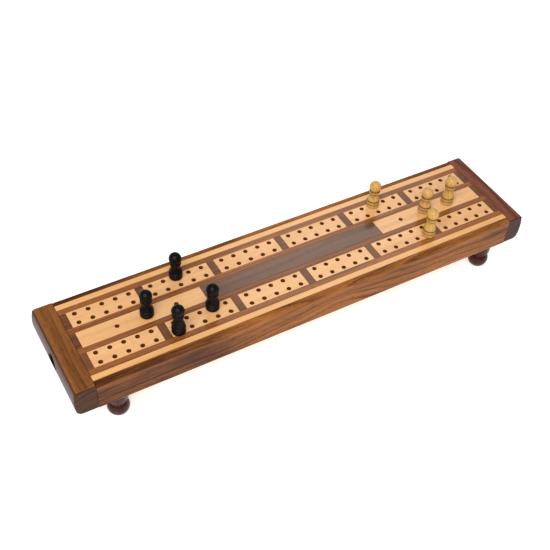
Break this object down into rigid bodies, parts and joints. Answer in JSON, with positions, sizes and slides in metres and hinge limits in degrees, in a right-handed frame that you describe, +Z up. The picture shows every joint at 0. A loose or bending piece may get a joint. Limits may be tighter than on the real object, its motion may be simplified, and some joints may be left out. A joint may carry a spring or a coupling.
{
  "type": "cribbage board",
  "caption": "Long inlaid wooden peg-scoring board on turned feet, with two lanes of peg holes, a centre game count, turned pegs in two colours and a peg drawer behind one end cap.",
  "frame": {"origin": "on the surface the feet stand on, under the middle of the board", "axes": "+X along the board to the right-hand end, +Y to the back, +Z up"},
  "size_m": [0.3958, 0.086, 0.0758],
  "materials": {
    "pale_panel": "satin lacquer on maple",
    "pale_strip": "satin lacquer on maple",
    "dark_panel": "satin lacquer on dark rosewood",
    "stringer": "satin lacquer on rosewood",
    "figured_rail": "satin lacquer on figured rosewood",
    "cap_wood": "satin lacquer, end grain on the long sides",
    "polished_foot": "glossy stained hardwood",
    "carcass_wood": "plain sanded wood",
    "tray_wood": "plain sanded wood",
    "black_peg": "ebonised hardwood, low gloss",
    "light_peg": "waxed boxwood"
  },
  "bodies": {
    "board": {"deck_core": "carcass_wood", "bottom_panel": "carcass_wood", "runner_front": "carcass_wood", "runner_back": "carcass_wood", "stop_block": "carcass_wood", "side_rail_front": "figured_rail", "side_rail_back": "figured_rail", "end_cap_right": "cap_wood", "lane_panel_front_1": "pale_panel", "lane_panel_front_2": "pale_panel", "lane_panel_front_3": "pale_panel", "lane_panel_front_4": "pale_panel", "lane_panel_front_5": "pale_panel", "lane_panel_front_6": "pale_panel", "lane_panel_back_1": "pale_panel", "lane_panel_back_2": "pale_panel", "lane_panel_back_3": "pale_panel", "lane_panel_back_4": "pale_panel", "lane_panel_back_5": "pale_panel", "lane_panel_back_6": "pale_panel", "game_panel_left": "pale_panel", "game_panel_right": "pale_panel", "centre_panel": "dark_panel", "centre_end_pieces": "dark_panel", "cross_pieces_front": "dark_panel", "cross_pieces_back": "dark_panel", "stringer_inner_front": "stringer", "stringer_inner_back": "stringer", "stringer_outer_front": "stringer", "stringer_outer_back": "stringer", "line_strip_front": "pale_strip", "line_strip_back": "pale_strip", "foot_front_left": "polished_foot", "foot_back_left": "polished_foot", "foot_front_right": "polished_foot", "foot_back_right": "polished_foot"},
    "drawer": {"drawer_front": "cap_wood", "drawer_bottom": "tray_wood", "drawer_side_front": "tray_wood", "drawer_side_back": "tray_wood", "drawer_back": "tray_wood"},
    "peg_black_1": {"peg_black_1": "black_peg"},
    "peg_black_2": {"peg_black_2": "black_peg"},
    "peg_black_3": {"peg_black_3": "black_peg"},
    "peg_black_4": {"peg_black_4": "black_peg"},
    "peg_light_1": {"peg_light_1": "light_peg"},
    "peg_light_2": {"peg_light_2": "light_peg"},
    "peg_light_3": {"peg_light_3": "light_peg"},
    "peg_light_4": {"peg_light_4": "light_peg"}
  },
  "joints": [
    {"name": "drawer_slide", "type": "slide", "parent": "board", "child": "drawer", "axis": [-1, 0, 0], "range_m": [0, 0.17]},
    {"name": "peg_black_1_lift", "type": "slide", "parent": "board", "child": "peg_black_1", "axis": [0, 0, 1], "range_m": [0, 0.03]},
    {"name": "peg_black_2_lift", "type": "slide", "parent": "board", "child": "peg_black_2", "axis": [0, 0, 1], "range_m": [0, 0.03]},
    {"name": "peg_black_3_lift", "type": "slide", "parent": "board", "child": "peg_black_3", "axis": [0, 0, 1], "range_m": [0, 0.03]},
    {"name": "peg_black_4_lift", "type": "slide", "parent": "board", "child": "peg_black_4", "axis": [0, 0, 1], "range_m": [0, 0.03]},
    {"name": "peg_light_1_lift", "type": "slide", "parent": "board", "child": "peg_light_1", "axis": [0, 0, 1], "range_m": [0, 0.03]},
    {"name": "peg_light_2_lift", "type": "slide", "parent": "board", "child": "peg_light_2", "axis": [0, 0, 1], "range_m": [0, 0.03]},
    {"name": "peg_light_3_lift", "type": "slide", "parent": "board", "child": "peg_light_3", "axis": [0, 0, 1], "range_m": [0, 0.03]},
    {"name": "peg_light_4_lift", "type": "slide", "parent": "board", "child": "peg_light_4", "axis": [0, 0, 1], "range_m": [0, 0.03]}
  ]
}
